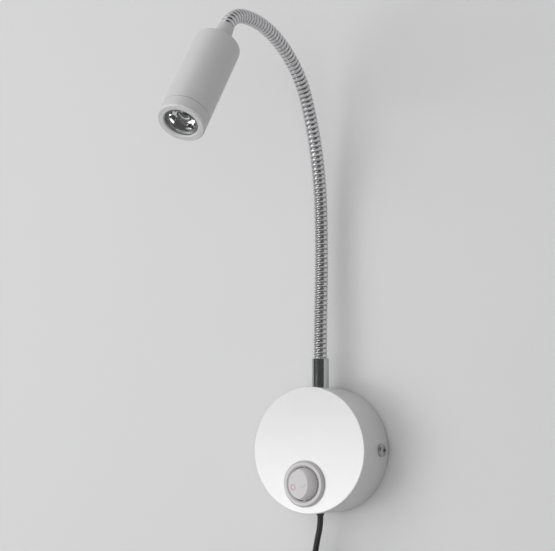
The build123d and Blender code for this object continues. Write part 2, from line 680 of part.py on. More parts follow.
with BuildPart() as stub_nut:
    with BuildSketch(HEAD.offset(HEAD_BACK)):
        RegularPolygon(STUB_NUT_ACROSS / 2, 6, major_radius=False)
        Circle(SHANK_D / 2 + PIN_FIT, mode=Mode.SUBTRACT)
    extrude(amount=STUB_NUT_H)
save(stub_nut, "stub_nut")

# Grooved aluminium slug that carries the LED board and fills the head's bore.
SINK_R = HEAD_BORE_R - FIT
SINK_BACK = HEAT_SINK_FRONT - HEAT_SINK_LENGTH
FIN_PITCH = HEAT_SINK_LENGTH / HEAT_SINK_FINS
LED_SCREW_PLACES = ((-LED_SCREW_CIRCLE_D / 2, 0), (LED_SCREW_CIRCLE_D / 2, 0))
with BuildPart() as heat_sink:
    with BuildSketch(HEAD.offset(SINK_BACK)):
        Circle(SINK_R)
        Circle(HOSE_BORE_D / 2, mode=Mode.SUBTRACT)
    extrude(amount=HEAT_SINK_LENGTH)
    for fin in range(1, HEAT_SINK_FINS):
        with BuildSketch(HEAD.offset(SINK_BACK + fin * FIN_PITCH - HEAT_SINK_GROOVE / 2)):
            Circle(SINK_R + FIT)
            Circle(SINK_R - HEAD_WALL, mode=Mode.SUBTRACT)
        extrude(amount=HEAT_SINK_GROOVE, mode=Mode.SUBTRACT)
    with BuildSketch(HEAD.offset(HEAT_SINK_FRONT)):
        with Locations(*LED_SCREW_PLACES):
            Circle(LED_SCREW_D / 2 + PIN_FIT)
    extrude(amount=-LED_SCREW_LENGTH, mode=Mode.SUBTRACT)
save(heat_sink, "heat_sink")

BOARD_FACE = HEAT_SINK_FRONT + LED_BOARD_T
with BuildPart() as led_board:
    with BuildSketch(HEAD.offset(HEAT_SINK_FRONT)):
        Circle(LED_BOARD_D / 2)
        with Locations(*LED_SCREW_PLACES):
            Circle(LED_SCREW_D / 2 + FIT, mode=Mode.SUBTRACT)
    extrude(amount=LED_BOARD_T)
save(led_board, "led_board")

# Square-based emitter under a clear dome.
with BuildPart() as led_emitter:
    with BuildSketch(HEAD.offset(BOARD_FACE)):
        Rectangle(EMITTER_D, EMITTER_D)
    extrude(amount=EMITTER_BASE_H)
    with Locations(HEAD.offset(BOARD_FACE + EMITTER_BASE_H)):
        Sphere(EMITTER_D / 2 - SEAT, arc_size1=0, align=(Align.CENTER, Align.CENTER, Align.MIN))
save(led_emitter, "led_emitter")

with BuildPart() as led_screws:
    with BuildSketch(HEAD.offset(BOARD_FACE)):
        with Locations(*LED_SCREW_PLACES):
            Circle(LED_SCREW_HEAD_D / 2)
    extrude(amount=LED_SCREW_HEAD_H)
    with BuildSketch(HEAD.offset(BOARD_FACE)):
        with Locations(*LED_SCREW_PLACES):
            Circle(LED_SCREW_D / 2)
    extrude(amount=-(LED_BOARD_T + LED_SCREW_LENGTH - SEAT))
save(led_screws, "led_screws")

# Front ring: a sleeve screwed into the head's mouth, with a chamfered lip over the lens.
RING_LIP_BACK = HEAD_LENGTH - RING_LIP_T
SPIGOT_R = HEAD_BORE_R - FIT
SPIGOT_BORE_R = SPIGOT_R - RING_SPIGOT_WALL
APERTURE_R = RING_APERTURE_D / 2
with BuildPart() as front_ring:
    revolve(
        turned(
            HEAD_SECTION,
            (SPIGOT_BORE_R, RING_SEAM - RING_SPIGOT_LENGTH),
            (SPIGOT_R, RING_SEAM - RING_SPIGOT_LENGTH),
            (SPIGOT_R, RING_SEAM),
            (HEAD_R - SEAM_DEPTH, RING_SEAM),
            (HEAD_R - SEAM_DEPTH, RING_SEAM + SEAM_WIDTH),
            (HEAD_R, RING_SEAM + SEAM_WIDTH),
            (HEAD_R, HEAD_LENGTH - RING_EDGE_CHAMFER),
            (HEAD_R - RING_EDGE_CHAMFER, HEAD_LENGTH),
            (APERTURE_R + RING_CHAMFER, HEAD_LENGTH),
            (APERTURE_R, HEAD_LENGTH - RING_CHAMFER),
            (APERTURE_R, RING_LIP_BACK),
            (SPIGOT_BORE_R, RING_LIP_BACK),
        ),
        axis=HEAD_AXIS,
    )
save(front_ring, "front_ring")

# Clear collimating lens with a pocket over the emitter, and the holder that its flange rests in.
FLANGE_BACK = LENS_FRONT - LENS_FLANGE_T
with BuildPart() as lens:
    revolve(
        turned(
            HEAD_SECTION,
            (0, LENS_BACK + LENS_POCKET_DEPTH),
            (LENS_POCKET_D / 2, LENS_BACK + LENS_POCKET_DEPTH),
            (LENS_POCKET_D / 2, LENS_BACK),
            (LENS_BACK_D / 2, LENS_BACK),
            (LENS_D / 2 - HEAD_WALL, FLANGE_BACK),
            (LENS_D / 2, FLANGE_BACK),
            (LENS_D / 2, LENS_FRONT),
            (0, LENS_FRONT),
        ),
        axis=HEAD_AXIS,
    )
save(lens, "lens")

HOLDER_R = SPIGOT_BORE_R - FIT
HOLDER_BORE_R = LENS_D / 2 + FIT
LEDGE_FRONT = FLANGE_BACK - FIT
with BuildPart() as lens_holder:
    revolve(
        turned(
            HEAD_SECTION,
            (HOLDER_BORE_R, BOARD_FACE),
            (HOLDER_R, BOARD_FACE),
            (HOLDER_R, LENS_FRONT),
            (HOLDER_BORE_R, LENS_FRONT),
            (HOLDER_BORE_R, LEDGE_FRONT),
            (LENS_D / 2 - HEAD_WALL + FIT, LEDGE_FRONT),
            (LENS_D / 2 - HEAD_WALL + FIT, LEDGE_FRONT - HOLDER_LEDGE / 2),
            (HOLDER_BORE_R, LEDGE_FRONT - HOLDER_LEDGE),
        ),
        axis=HEAD_AXIS,
    )
save(lens_holder, "lens_holder")

# ==== Cord ====

# Bushing that grips the cord in the drum's wall, its flange inside. Along its lathe plane, y runs down.
GLAND_SECTION = lathe_plane((0, CORD_Y, 0), -Z)
FLANGE_DROP = math.sqrt(BORE_R**2 - (GLAND_FLANGE_D / 2) ** 2) - FIT
GLAND_TOP = FLANGE_DROP - GLAND_FLANGE_T - GLAND_INNER_H
GLAND_TIP = DRUM_R + GLAND_TIP_H
with BuildPart() as cord_gland:
    revolve(
        turned(
            GLAND_SECTION,
            (0, GLAND_TOP),
            (GLAND_NECK_D / 2, GLAND_TOP),
            (GLAND_NECK_D / 2, FLANGE_DROP - GLAND_FLANGE_T),
            (GLAND_FLANGE_D / 2, FLANGE_DROP - GLAND_FLANGE_T),
            (GLAND_FLANGE_D / 2, FLANGE_DROP),
            (GLAND_NECK_D / 2, FLANGE_DROP),
            (GLAND_NECK_D / 2, DRUM_R),
            (GLAND_TIP_D / 2, GLAND_TIP),
            (0, GLAND_TIP),
        ),
        axis=axis_of(GLAND_SECTION),
    )
save(cord_gland, "cord_gland")

# The cord's two cores to the switch and the power supply, and the wire between those two.
WIRE_BACK_Y = SLEEVE_END_Y + WIRE_BACK
WIRE_Y = CORD_Y + WIRE_FRONT
WIRE_TURN_Z = -GLAND_TOP + WIRE_RISE
WIRE_ENTRY_Z = CASE_BOTTOM_Z - WIRE_ENTRY
MAINS_TO_SWITCH = (
    (-CORE_OUT, CORD_Y, -GLAND_TOP),
    (-CORE_OUT, CORD_Y, WIRE_TURN_Z),
    (CONTACT_XS[0], WIRE_BACK_Y, WIRE_TURN_Z + WIRE_SLANT),
    (CONTACT_XS[0], WIRE_BACK_Y, SWITCH_Z),
    (CONTACT_XS[0], SLEEVE_END_Y, SWITCH_Z),
)
MAINS_TO_DRIVER = (
    (CORE_OUT, CORD_Y, -GLAND_TOP),
    (CORE_OUT, CORD_Y, WIRE_TURN_Z),
    (DRIVER_WIRE_X, WIRE_BACK_Y, WIRE_TURN_Z + WIRE_SLANT),
    (DRIVER_WIRE_X, WIRE_BACK_Y, WIRE_ENTRY_Z),
    (DRIVER_WIRE_X, WIRE_Y, WIRE_ENTRY_Z),
    (DRIVER_WIRE_X, WIRE_Y, CASE_BOTTOM_Z),
)
SWITCH_TO_DRIVER = (
    (CONTACT_XS[1], SLEEVE_END_Y, SWITCH_Z),
    (CONTACT_XS[1], WIRE_BACK_Y, SWITCH_Z),
    (CONTACT_XS[1], WIRE_BACK_Y, WIRE_ENTRY_Z),
    (CONTACT_XS[1], WIRE_Y, WIRE_ENTRY_Z),
    (CONTACT_XS[1], WIRE_Y, CASE_BOTTOM_Z),
)
with BuildPart() as base_wires:
    for points in (MAINS_TO_SWITCH, MAINS_TO_DRIVER, SWITCH_TO_DRIVER):
        add(wire_tube(points, WIRE_BEND_R, WIRE_D))
save(base_wires, "base_wires")

# Free stretch from the bushing down to the coil.
CORD_R = CORD_D / 2
CORD_LAYERS = len(COIL_LAYER_HALF_TURNS)
COIL_INNER_R = COIL_OUTER_R - COIL_LAYER_HALF_TURNS[0] * COIL_PITCH / 2
COIL_BACK_Y = COIL_CENTRE[1] + COIL_PITCH * (CORD_LAYERS - 1) / 2
COIL_START = (COIL_CENTRE[0] - COIL_OUTER_R, COIL_BACK_Y, COIL_CENTRE[2])
CORD_ROUTE = (
    (0.0, CORD_Y, -GLAND_TIP),
    (0.0, CORD_Y, -GLAND_TIP - CORD_DROP),
    *[(x, CORD_Y + y, z - GLAND_TIP) for x, y, z in CORD_BENDS],
    (COIL_START[0], COIL_START[1], COIL_START[2] + COIL_RUN),
    (COIL_START[0], COIL_START[1], COIL_START[2] + COIL_ENTRY),
)


def bend_radii(points):
    """Largest arc that two runs leave room for, at each corner of a cord's route."""
    places = [Vector(*point) for point in points]
    runs = [after - before for before, after in zip(places, places[1:])]
    radii = []
    for run, following in zip(runs, runs[1:]):
        half_turn = math.radians(run.get_angle(following) / 2)
        radii.append(0.45 * min(run.length, following.length) / math.tan(half_turn))
    return radii


CORD_RADII = bend_radii(CORD_ROUTE)
with BuildPart() as cord_lead:
    with BuildLine() as cord_line:
        FilletPolyline(*CORD_ROUTE, radius=CORD_RADII)
    with BuildSketch(Plane(origin=cord_line.line @ 0, z_dir=cord_line.line % 0)):
        Circle(CORD_R)
    sweep(path=cord_line.line)
save(cord_lead, "cord_lead")

# Put-away length: a tied coil of half turns, in layers that spiral in and out and climb where they reverse.
coil_points = [Vector(*COIL_START)]
radius, side = COIL_OUTER_R, 1
for layer, half_turns in enumerate(COIL_LAYER_HALF_TURNS):
    layer_y = COIL_BACK_Y - layer * COIL_PITCH
    inward = -1 if layer % 2 == 0 else 1
    climb = [0] if layer else []
    for step in [*climb, *[inward] * half_turns]:
        radius += step * COIL_PITCH / 2
        coil_points.append(Vector(COIL_CENTRE[0] + side * radius, layer_y, COIL_CENTRE[2]))
        side = -side
COIL_END = coil_points[-1]
with BuildPart() as cord_coil:
    with BuildLine() as coil_line:
        Line(coil_points[0] + COIL_ENTRY * Z, coil_points[0])
        downward = -Z
        for near, far in zip(coil_points, coil_points[1:]):
            ThreePointArc(near, (near + far) / 2 + downward * ((far - near).length / 2), far)
            downward = -downward
        Line(COIL_END, COIL_END - COIL_TAIL * Z)
    with BuildSketch(Plane(origin=coil_line.line @ 0, z_dir=coil_line.line % 0)):
        Circle(CORD_R)
    sweep(path=coil_line.line)
save(cord_coil, "cord_coil")

# Fabric tie round the coil's bundle of turns, on the side away from where the cord comes in.
TIE_INNER_X = (
    COIL_CENTRE[0] + COIL_INNER_R - CORD_R - 2 * TIE_PLAY,
    COIL_CENTRE[0] + COIL_OUTER_R + CORD_R + TIE_PLAY,
)
TIE_SIZE = (TIE_INNER_X[1] - TIE_INNER_X[0], COIL_PITCH * (CORD_LAYERS - 1) + CORD_D + 2 * TIE_PLAY)
with BuildPart() as cord_tie:
    with BuildSketch(Plane.XY.offset(COIL_CENTRE[2])):
        with Locations((sum(TIE_INNER_X) / 2, COIL_CENTRE[1])):
            RectangleRounded(TIE_SIZE[0] + 2 * TIE_T, TIE_SIZE[1] + 2 * TIE_T, 2 * TIE_T)
            RectangleRounded(*TIE_SIZE, TIE_T, mode=Mode.SUBTRACT)
    extrude(amount=TIE_WIDTH / 2, both=True)
save(cord_tie, "cord_tie")

# Flat two-pin plug that hangs on the coil's end, with a tapered strain relief.
PLUG = Plane(origin=COIL_END - COIL_TAIL * Z, x_dir=X, z_dir=-Z)
with BuildPart() as plug_body:
    for place, diameter in zip((0, PLUG_RELIEF_LENGTH), PLUG_RELIEF_D):
        with BuildSketch(PLUG.offset(place)):
            Circle(diameter / 2)
    loft(ruled=True)
    with BuildSketch(PLUG.offset(PLUG_RELIEF_LENGTH)):
        RectangleRounded(*PLUG_NECK, PLUG_CORNER_R - CASE_WALL)
    with BuildSketch(PLUG.offset(PLUG_RELIEF_LENGTH + PLUG_SHOULDER)):
        RectangleRounded(PLUG_WIDTH, PLUG_T, PLUG_CORNER_R)
    loft()
    with BuildSketch(PLUG.offset(PLUG_RELIEF_LENGTH + PLUG_SHOULDER)):
        RectangleRounded(PLUG_WIDTH, PLUG_T, PLUG_CORNER_R)
    extrude(amount=PLUG_LENGTH - PLUG_SHOULDER)
    fillet(plug_body.faces().sort_by(Axis.Z)[0].edges(), CASE_WALL)
save(plug_body, "plug_body")

with BuildPart() as plug_pins:
    with BuildSketch(PLUG.offset(PLUG_RELIEF_LENGTH + PLUG_LENGTH)):
        with Locations((-PLUG_PIN_SPACING / 2, 0), (PLUG_PIN_SPACING / 2, 0)):
            Circle(PLUG_PIN_D / 2)
    extrude(amount=PLUG_PIN_LENGTH)
    fillet(plug_pins.faces().group_by(Axis.Z)[0].edges(), CASE_WALL)
save(plug_pins, "plug_pins")

# ==== Facts to read back ====

print("neck length", round(NECK_LENGTH, 1), "head back", HEAD.origin, "axis", HEAD.z_dir)
print("cord radii in diameters", [round(r / CORD_D, 1) for r in CORD_RADII])
print("cord tube volume", round(cord_lead.part.volume, 1))
print("section times length", round(math.pi * CORD_R**2 * cord_line.wire().length, 1))
print("cord length", round(cord_line.wire().length + coil_line.wire().length, 1))

COIL_SAMPLES = 1600
samples = [coil_line.line @ (i / COIL_SAMPLES) for i in range(COIL_SAMPLES + 1)]
SAMPLE_STEP = coil_line.wire().length / COIL_SAMPLES
HALF_TURN_SAMPLES = int(math.pi * COIL_INNER_R / 2 / SAMPLE_STEP)
least = min(
    (samples[i] - samples[j]).length
    for i in range(len(samples))
    for j in range(i + HALF_TURN_SAMPLES, len(samples))
)
print("coil's least gap to itself", round(least - CORD_D, 2))
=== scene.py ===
"""Looks of the bedside wall reading lamp: camera, finishes, cord, detailed pieces, wall and lights.

The wall is the plane Y = 0, the lamp stands out of it toward -Y, and +Z is up. The lamp's own sizes are in
millimetres and go through mm(). The wall, the floor and the lights are in metres.
"""

import json
import math

import bpy
from mathutils import Matrix, Vector


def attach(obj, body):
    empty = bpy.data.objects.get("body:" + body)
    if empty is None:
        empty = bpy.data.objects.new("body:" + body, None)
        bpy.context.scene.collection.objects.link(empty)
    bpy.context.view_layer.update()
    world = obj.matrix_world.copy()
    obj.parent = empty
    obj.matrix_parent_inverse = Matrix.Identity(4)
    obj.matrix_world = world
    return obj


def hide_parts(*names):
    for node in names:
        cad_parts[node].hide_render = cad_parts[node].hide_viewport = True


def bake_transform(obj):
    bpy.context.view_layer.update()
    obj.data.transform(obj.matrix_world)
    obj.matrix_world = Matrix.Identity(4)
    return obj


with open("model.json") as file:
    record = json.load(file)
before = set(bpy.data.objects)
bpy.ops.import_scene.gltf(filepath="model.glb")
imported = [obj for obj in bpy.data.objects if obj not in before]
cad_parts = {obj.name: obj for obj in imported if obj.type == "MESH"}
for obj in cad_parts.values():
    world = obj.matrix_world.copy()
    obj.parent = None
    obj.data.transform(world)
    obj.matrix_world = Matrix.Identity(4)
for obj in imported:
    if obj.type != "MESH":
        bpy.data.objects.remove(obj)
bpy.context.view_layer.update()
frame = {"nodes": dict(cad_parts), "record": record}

MM = 0.001
X = Vector((1, 0, 0))
Z = Vector((0, 0, 1))


def mm(*point):
    """A point or vector given in millimetres."""
    return Vector(point) * MM


# ==== Camera ====

PHOTO_WIDTH_PX = 555
FOCAL_PX = 1300
SENSOR_MM = 36.0
CAMERA_PLACE = (405.96, -756.51, 6.23)
VIEW_RIGHT = Vector((0.859977, 0.510318, 0.004002))
VIEW_UP = Vector((0.060633, -0.109958, 0.992085))
scene = bpy.context.scene
camera = bpy.data.objects.new("camera", bpy.data.cameras.new("camera"))
scene.collection.objects.link(camera)
camera.data.sensor_width = SENSOR_MM
camera.data.lens = FOCAL_PX * SENSOR_MM / PHOTO_WIDTH_PX
camera.matrix_world = Matrix.Translation(mm(*CAMERA_PLACE)) @ (
    Matrix((VIEW_RIGHT, VIEW_UP, VIEW_RIGHT.cross(VIEW_UP))).transposed().to_4x4()
)
scene.camera = camera
scene.view_settings.view_transform = "Standard"


# ==== Finishes ====

NOISE_RANGE = (0.25, 0.75)  # nearly all of a noise texture's values lie here
FINE_SHARE = 0.4  # of the fine grain in the play of a colour
SLOW_SHARE = 0.6  # of the slow mottling in it
RAMP_ENDS = (0.15, 0.85)
FINE_DETAIL = 4.0
SLOW_DETAIL = 3.0
BUMP_DEPTH = 0.0002
MIX_FACTOR, MIX_FIRST, MIX_SECOND, MIX_COLOUR = 0, 6, 7, 2  # sockets of a Mix node that mixes colours


class Nodes:
    """Short way to build a material's or the world's node tree."""

    def __init__(self, tree):
        self.tree = tree
        tree.nodes.clear()

    def add(self, kind, **settings):
        """New node. A setting goes to the input of that name, or else to the node itself."""
        node = self.tree.nodes.new(kind)
        for name, value in settings.items():
            label = name.replace("_", " ")
            if label in node.inputs:
                node.inputs[label].default_value = value
            else:
                setattr(node, name, value)
        return node

    def link(self, out, into):
        self.tree.links.new(out, into)

    def noise(self, place, scale, detail):
        """Values of a noise texture."""
        node = self.add("ShaderNodeTexNoise", Scale=scale, Detail=detail)
        self.link(place, node.inputs["Vector"])
        return node.outputs["Fac"]

    def spread(self, value, low, high):
        """Maps a noise's values to a range."""
        start, stop = NOISE_RANGE
        node = self.add("ShaderNodeMapRange", From_Min=start, From_Max=stop, To_Min=low, To_Max=high)
        self.link(value, node.inputs["Value"])
        return node.outputs["Result"]

    def greatest(self, *values):
        """The greatest of these outputs."""
        found = values[0]
        for value in values[1:]:
            node = self.add("ShaderNodeMath", operation="MAXIMUM")
            self.link(found, node.inputs[0])
            self.link(value, node.inputs[1])
            found = node.outputs[0]
        return found

    def shown_ray(self):
        """1 where a ray shows the surface to the camera, also through metal's gloss or glass."""
        kinds = self.add("ShaderNodeLightPath").outputs
        return self.greatest(kinds["Is Camera Ray"], kinds["Is Glossy Ray"], kinds["Is Transmission Ray"])

    def mix_colours(self, factor, first, second):
        """Colour between two, each of them a colour or another node's output."""
        node = self.add("ShaderNodeMix", data_type="RGBA")
        self.link(factor, node.inputs[MIX_FACTOR])
        for index, colour in ((MIX_FIRST, first), (MIX_SECOND, second)):
            if isinstance(colour, bpy.types.NodeSocket):
                self.link(colour, node.inputs[index])
            else:
                node.inputs[index].default_value = (*colour, 1)
        return node.outputs[MIX_COLOUR]

    def mix_shaders(self, factor, first, second):
        """Shader between two."""
        node = self.add("ShaderNodeMixShader")
        for index, out in enumerate((factor, first, second)):
            self.link(out, node.inputs[index])
        return node.outputs[0]

    def show(self, shader, kind="Material"):
        """Makes this the tree's surface."""
        self.link(shader, self.add(f"ShaderNodeOutput{kind}").inputs["Surface"])


def new_material(name):
    """A material and its empty node tree."""
    material = bpy.data.materials.new(name)
    material.use_nodes = True
    return material, Nodes(material.node_tree)


def finish(
    name,
    colour,
    rough,
    metallic=0.0,
    grain=900.0,
    stretch=(1, 1, 1),
    tint=0.03,
    rough_play=0.04,
    bump=0.02,
    mottle=40.0,
    groove_shade=None,
    **sockets,
):
    """Procedural finish: fine grain for bump and gloss, and slow mottling of the colour.

    The groove colour is painted shade: it darkens the bottom of ribs, where shade falls, on a mesh with an
    attribute of that name. Further names are sockets of the Principled shader.
    """
    material, tree = new_material(name)
    shader = tree.add("ShaderNodeBsdfPrincipled", Metallic=metallic, **sockets)
    place = tree.add("ShaderNodeTexCoord").outputs["Object"]
    mapping = tree.add("ShaderNodeMapping", Scale=stretch)
    tree.link(place, mapping.inputs["Vector"])
    fine = tree.noise(mapping.outputs["Vector"], grain, FINE_DETAIL)
    slow = tree.noise(place, mottle, SLOW_DETAIL)
    both = tree.add("ShaderNodeMath", operation="MULTIPLY_ADD")
    tree.link(fine, both.inputs[0])
    both.inputs[1].default_value = FINE_SHARE
    tree.link(tree.spread(slow, 0.0, SLOW_SHARE), both.inputs[2])
    ramp = tree.add("ShaderNodeValToRGB")
    for element, position, amount in zip(ramp.color_ramp.elements, RAMP_ENDS, (1 - tint, 1 + tint)):
        element.position = position
        element.color = (*[min(1.0, channel * amount) for channel in colour], 1)
    tree.link(both.outputs[0], ramp.inputs["Fac"])
    shown = ramp.outputs["Color"]
    # Painted shade: by the mesh's groove depth, the bottom of the ribs takes the dark groove colour.
    if groove_shade is not None:
        depth = tree.add("ShaderNodeAttribute", attribute_name="groove_shade")
        shown = tree.mix_colours(depth.outputs["Fac"], shown, groove_shade)
    tree.link(shown, shader.inputs["Base Color"])
    tree.link(tree.spread(fine, rough - rough_play, rough + rough_play), shader.inputs["Roughness"])
    if bump:
        relief = tree.add("ShaderNodeBump", Strength=bump, Distance=BUMP_DEPTH)
        tree.link(fine, relief.inputs["Height"])
        tree.link(relief.outputs["Normal"], shader.inputs["Normal"])
    tree.show(shader.outputs["BSDF"])
    return material


# By material slot. The last three are for pieces that look unlike the rest of their slot.
FINISHES = {
    "drum_finish": finish("drum_satin", (0.70, 0.70, 0.70), 0.32, 0.30, grain=1800, tint=0.012, bump=0.05),
    "head_finish": finish("head_satin", (0.62, 0.62, 0.62), 0.50, 0.12, grain=1800, tint=0.015, bump=0.06),
    "zinc_steel": finish("zinc_plate", (0.50, 0.51, 0.52), 0.38, 1.0, grain=300, tint=0.08, mottle=120),
    "screw_steel": finish("nickel_screw", (0.45, 0.45, 0.45), 0.30, 1.0, grain=700, tint=0.06),
    # The hose's groove colour is painted shade at the bottom of its ribs and in its bore.
    "hose_steel": finish(
        "hose_steel", (0.66, 0.66, 0.67), 0.28, 1.0, grain=1200, tint=0.05, groove_shade=(0.13, 0.13, 0.132)
    ),
    "collar_chrome": finish(
        "dark_chrome", (0.50, 0.515, 0.51), 0.16, 1.0, grain=1500, tint=0.03, rough_play=0.02
    ),
    "stub_metal": finish("stub_satin", (0.60, 0.60, 0.60), 0.50, 0.12, grain=1500, tint=0.02, bump=0.05),
    "brass": finish("brass", (0.66, 0.50, 0.24), 0.30, 1.0, grain=800, tint=0.06),
    "bezel_plastic": finish("bezel_grey", (0.52, 0.51, 0.51), 0.30, grain=1500, tint=0.02, Coat_Weight=0.2),
    "rocker_plastic": finish(
        "rocker_white", (0.60, 0.585, 0.59), 0.28, grain=1500, tint=0.015, Coat_Weight=0.2
    ),
    "white_plastic": finish("white_moulding", (0.80, 0.80, 0.78), 0.45),
    "sleeve_plastic": finish("red_sleeve", (0.45, 0.07, 0.05), 0.45, tint=0.06),
    "holder_plastic": finish("holder_grey", (0.16, 0.16, 0.162), 0.35, tint=0.05),
    "led_laminate": finish("led_board_grey", (0.16, 0.16, 0.162), 0.45, grain=1500, tint=0.08),
    "board_laminate": finish("board_green", (0.02, 0.12, 0.05), 0.40, grain=1500, stretch=(1, 1, 6), tint=0.15),
    "capacitor_sleeve": finish("capacitor_blue", (0.02, 0.025, 0.06), 0.35, tint=0.1),
    "bare_aluminium": finish("turned_aluminium", (0.72, 0.73, 0.74), 0.28, 1.0, grain=1200, tint=0.05),
    "clear_lens": finish(
        "clear_lens",
        (0.96, 0.97, 0.97),
        0.09,
        grain=600,
        tint=0.01,
        rough_play=0.02,
        bump=0,
        Transmission_Weight=1.0,
        IOR=1.49,
    ),
    "wire_sleeve": finish("wire_sleeve", (0.03, 0.03, 0.032), 0.50, tint=0.1),
    "cord_fittings": finish("black_moulding", (0.018, 0.018, 0.019), 0.42, grain=1400, tint=0.12, bump=0.06),
    "cord_sheath": finish("cord_sheath", (0.016, 0.016, 0.018), 0.38, grain=700, tint=0.12, bump=0.04),
    "tie_fabric": finish(
        "tie_weave",
        (0.02, 0.02, 0.021),
        0.85,
        grain=2600,
        stretch=(1, 1, 0.4),
        tint=0.3,
        bump=0.5,
        Sheen_Weight=0.4,
    ),
    "pin_nickel": finish("pin_nickel", (0.62, 0.61, 0.58), 0.24, 1.0, grain=800, tint=0.04),
    "mark_red": finish("mark_red", (0.52, 0.33, 0.34), 0.40, tint=0.04),
    "mark_grey": finish("mark_grey", (0.50, 0.49, 0.49), 0.40, tint=0.04),
}
OWN_FINISHES = {"plug_pins": "pin_nickel"}

for entry in frame["record"]["subparts"]:
    materials = frame["nodes"][entry["node"]].data.materials
    materials.clear()
    materials.append(FINISHES[OWN_FINISHES.get(entry["node"], entry["material_slot"])])


def dress(piece, slot_name, finish_name=None):
    """Gives a piece its slot's finish, or the one that is named."""
    piece.data.materials.clear()
    piece.data.materials.append(FINISHES[finish_name or slot_name])
    return piece


def new_mesh(name, vertices, faces, slot_name, finish_name=None, smooth=True):
    """A mesh piece with its finish."""
    data = bpy.data.meshes.new(name)
    data.from_pydata(vertices, [], faces)
    data.update()
    data.polygons.foreach_set("use_smooth", [smooth] * len(data.polygons))
    piece = bpy.data.objects.new(name, data)
    scene.collection.objects.link(piece)
    return dress(piece, slot_name, finish_name)


# ==== Cord ====

CORD_DIAMETER = 3.8 * MM
CORD_ROUTE = (  # from the bushing's tip to the coil's first turn
    (0.0, -18.4, -41.5),
    (0.0, -18.4, -47.9),
    (-2.9, -17.8, -58.2),
    (-7.4, -14.2, -72.5),
    (-10.0, -10.9, -85.5),
    (-10.0, -10.9, -96.0),
)
COIL_CENTRE = (18.0, -18.4, -102.0)
COIL_PITCH = 5.0  # from turn to turn and from layer to layer
COIL_OUTER_R = 28.0
COIL_LAYER_HALF_TURNS = (5, 5, 5, 4)
COIL_TAIL_DROPS = (7.0, 14.0, 20.0)  # from the last turn down to the plug
STEPS_PER_HALF_TURN = 8
POLYGON_SWELL = 1.0095  # a quadratic spline runs a little inside its control points
SPLINE_ORDER = 3
SPLINE_STEPS = 6
BEVEL_STEPS = 5


def coil_marks():
    """Ends (x, y) of the coil's half turns, in layers that spiral in and out and climb where they reverse."""
    back_y = COIL_CENTRE[1] + COIL_PITCH * (len(COIL_LAYER_HALF_TURNS) - 1) / 2
    radius, side = COIL_OUTER_R, 1
    marks = [(COIL_CENTRE[0] - COIL_OUTER_R, back_y)]
    for layer, half_turns in enumerate(COIL_LAYER_HALF_TURNS):
        inward = -1 if layer % 2 == 0 else 1
        climb = [0] if layer else []
        for step in [*climb, *[inward] * half_turns]:
            radius += step * COIL_PITCH / 2
            marks.append((COIL_CENTRE[0] + side * radius, back_y - layer * COIL_PITCH))
            side = -side
    return marks


COIL_MARKS = coil_marks()
COIL_END = (*COIL_MARKS[-1], COIL_CENTRE[2])


def cord_points():
    """Control points of the cord, from the drum to the plug."""
    points = [mm(*point) for point in CORD_ROUTE]
    downward = -1
    for (near_x, near_y), (far_x, far_y) in zip(COIL_MARKS, COIL_MARKS[1:]):
        middle, reach = (near_x + far_x) / 2, (far_x - near_x) / 2
        for step in range(STEPS_PER_HALF_TURN):
            angle = math.pi * (step + 0.5) / STEPS_PER_HALF_TURN
            points.append(
                mm(
                    middle - reach * math.cos(angle) * POLYGON_SWELL,
                    near_y + (far_y - near_y) * (1 - math.cos(angle)) / 2,
                    COIL_CENTRE[2] + downward * abs(reach) * math.sin(angle) * POLYGON_SWELL,
                )
            )
        downward = -downward
    points += [mm(COIL_END[0], COIL_END[1], COIL_END[2] - drop) for drop in COIL_TAIL_DROPS]
    return points


def cord_piece(name, points, slot_name):
    """Round cord along a smooth curve."""
    data = bpy.data.curves.new(name, "CURVE")
    data.dimensions = "3D"
    spline = data.splines.new("NURBS")
    spline.points.add(len(points) - 1)
    for target, point in zip(spline.points, points):
        target.co = (*point, 1)
    spline.order_u = SPLINE_ORDER
    spline.use_endpoint_u = True
    data.resolution_u = SPLINE_STEPS
    data.bevel_depth = CORD_DIAMETER / 2
    data.bevel_resolution = BEVEL_STEPS
    data.use_fill_caps = True
    piece = bpy.data.objects.new(name, data)
    scene.collection.objects.link(piece)
    return dress(piece, slot_name)


mains_cord = cord_piece("mains_cord", cord_points(), "cord_sheath")
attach(mains_cord, "base")
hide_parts("cord_lead", "cord_coil")

# ==== Tie round the coil ====

TIE_MIDDLE = (39.5, -18.4, -102.0)
TIE_HALF = (9.4, 10.4)  # half sizes of the strip's middle line
TIE_CORNER_R = 2.6
TIE_T = 0.9
TIE_WIDTH = 8.0
TIE_EDGE_R = 0.3
TIE_EDGE_STEPS = 4
TIE_START = 14.0  # the strip's first end lies at this length along its middle line
TIE_OVERLAP = 13.0
TIE_CLIMB = 4.0  # the strip rises over its own first end along this length
TIE_PLAY = 0.05  # between the strip and its own first end
TIE_END_LENGTH = 2.0  # the strip narrows to its ends along this length
TIE_END_WIDTH = 0.82  # share of the strip's width at its ends
TIE_RIPPLE = 0.05
TIE_RIPPLE_RATE = 1.9  # radians per millimetre
TIE_STEP = 0.4


